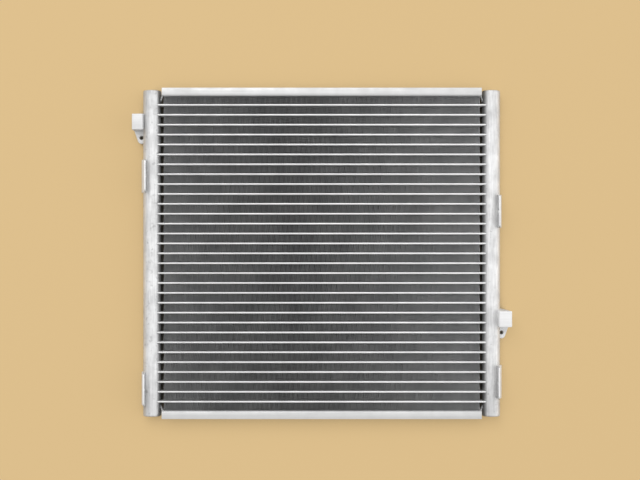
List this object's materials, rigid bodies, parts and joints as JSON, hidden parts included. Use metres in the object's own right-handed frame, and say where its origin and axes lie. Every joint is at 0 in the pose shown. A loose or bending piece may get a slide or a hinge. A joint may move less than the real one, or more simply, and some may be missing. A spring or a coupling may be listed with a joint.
{
  "type": "air conditioning condenser",
  "caption": "Parallel-flow condenser: flat tubes and corrugated fins between two round header tubes, with side plates, connection blocks and mounting brackets.",
  "frame": {"origin": "on the surface that the two header tubes lie on, under the middle of the core", "axes": "+X across the core from the inlet header to the outlet header, +Y up the stack of flat tubes, +Z from the core's back to its front, which is up as the part lies"},
  "size_m": [0.3812, 0.3346, 0.028],
  "materials": {
    "header": "drawn tube, matt from brazing",
    "flat_tube": "extruded, matt from brazing",
    "fin": "thin rolled sheet, matt",
    "side_plate": "folded sheet, satin",
    "block": "machined, satin",
    "bracket": "bent strip, satin"
  },
  "bodies": {
    "root": {"tube_and_fin_01": "flat_tube", "tube_and_fin_02": "flat_tube", "tube_and_fin_03": "flat_tube", "tube_and_fin_04": "flat_tube", "tube_and_fin_05": "flat_tube", "tube_and_fin_06": "flat_tube", "tube_and_fin_07": "flat_tube", "tube_and_fin_08": "flat_tube", "tube_and_fin_09": "flat_tube", "tube_and_fin_10": "flat_tube", "tube_and_fin_11": "flat_tube", "tube_and_fin_12": "flat_tube", "tube_and_fin_13": "flat_tube", "tube_and_fin_14": "flat_tube", "tube_and_fin_15": "flat_tube", "tube_and_fin_16": "flat_tube", "tube_and_fin_17": "flat_tube", "tube_and_fin_18": "flat_tube", "tube_and_fin_19": "flat_tube", "tube_and_fin_20": "flat_tube", "tube_and_fin_21": "flat_tube", "tube_and_fin_22": "flat_tube", "tube_and_fin_23": "flat_tube", "tube_and_fin_24": "flat_tube", "tube_and_fin_25": "flat_tube", "tube_and_fin_26": "flat_tube", "tube_and_fin_27": "flat_tube", "tube_and_fin_28": "flat_tube", "tube_and_fin_29": "flat_tube", "tube_and_fin_30": "flat_tube", "tube_and_fin_31": "flat_tube", "bottom_fin": "fin", "left_header": "header", "right_header": "header", "left_top_cap": "header", "left_bottom_cap": "header", "right_top_cap": "header", "right_bottom_cap": "header", "left_baffle": "header", "right_baffle": "header", "top_side_plate": "side_plate", "bottom_side_plate": "side_plate", "inlet_block": "block", "outlet_block": "block", "left_upper_bracket": "bracket", "left_lower_bracket": "bracket", "right_upper_bracket": "bracket", "right_lower_bracket": "bracket"}
  },
  "joints": []
}
